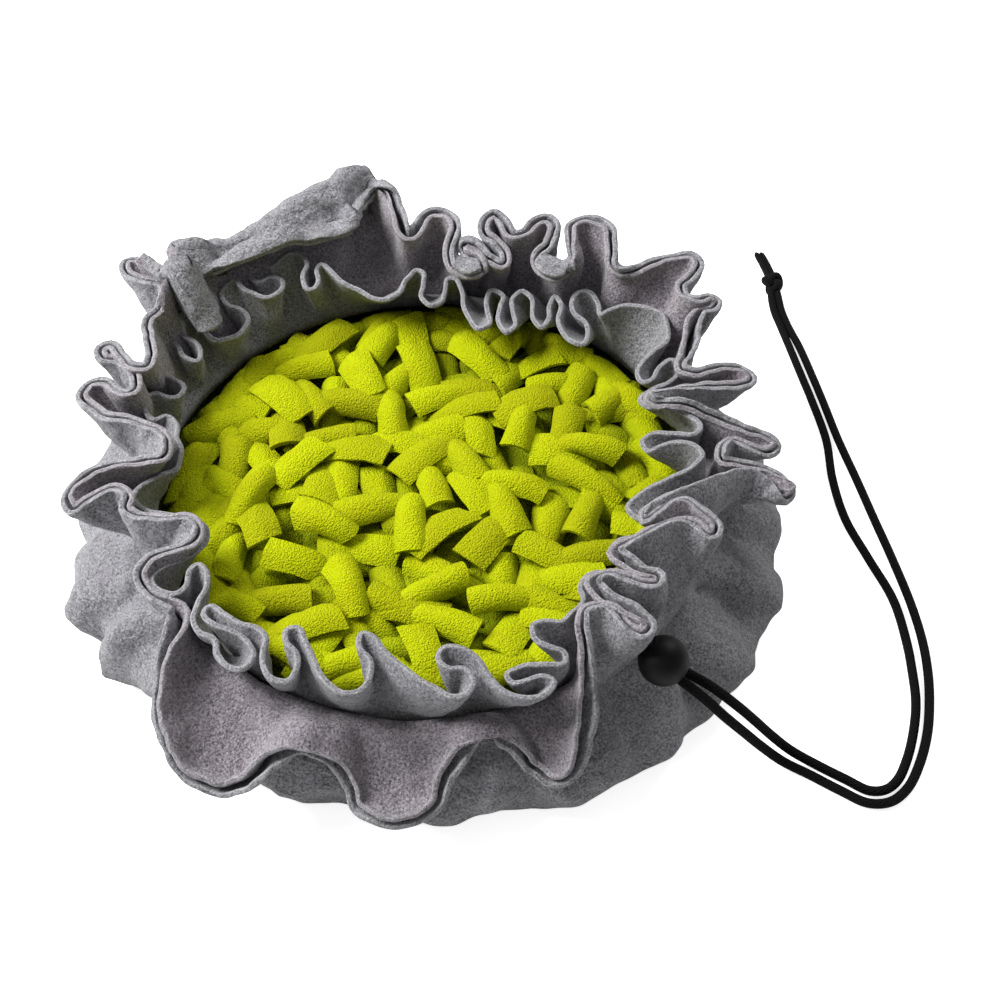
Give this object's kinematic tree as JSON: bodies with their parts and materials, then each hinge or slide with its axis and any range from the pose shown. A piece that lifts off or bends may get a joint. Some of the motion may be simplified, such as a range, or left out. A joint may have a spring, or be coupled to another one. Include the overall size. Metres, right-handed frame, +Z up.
{
  "type": "snuffle mat",
  "caption": "Drawstring fleece bag opened into a bowl, with a ruffled two-ply rim, an inner frill, a bed of standing fleece strips and a ball cord lock, for hiding dry pet food.",
  "frame": {"origin": "on the floor, in the flat bottom under the middle of the bowl", "axes": "+Z up out of the bowl, -Y towards the picture's viewer, +X to the viewer's right, where the drawcord lies"},
  "size_m": [0.3774, 0.3651, 0.0968],
  "materials": {
    "outer_fleece": "napped grey fleece",
    "lining_fleece": "napped grey fleece with a slight mauve tint",
    "strip_fleece": "napped lime-green fleece",
    "lock_plastic": "satin black",
    "cord": "braided black cord"
  },
  "bodies": {
    "root": {"outer_cloth": "outer_fleece", "lining_cloth": "lining_fleece", "inner_frill": "outer_fleece", "strip_field": "strip_fleece", "cord_lock": "lock_plastic", "drawcord_near": "cord", "drawcord_far": "cord", "cord_knot": "cord"}
  },
  "joints": []
}
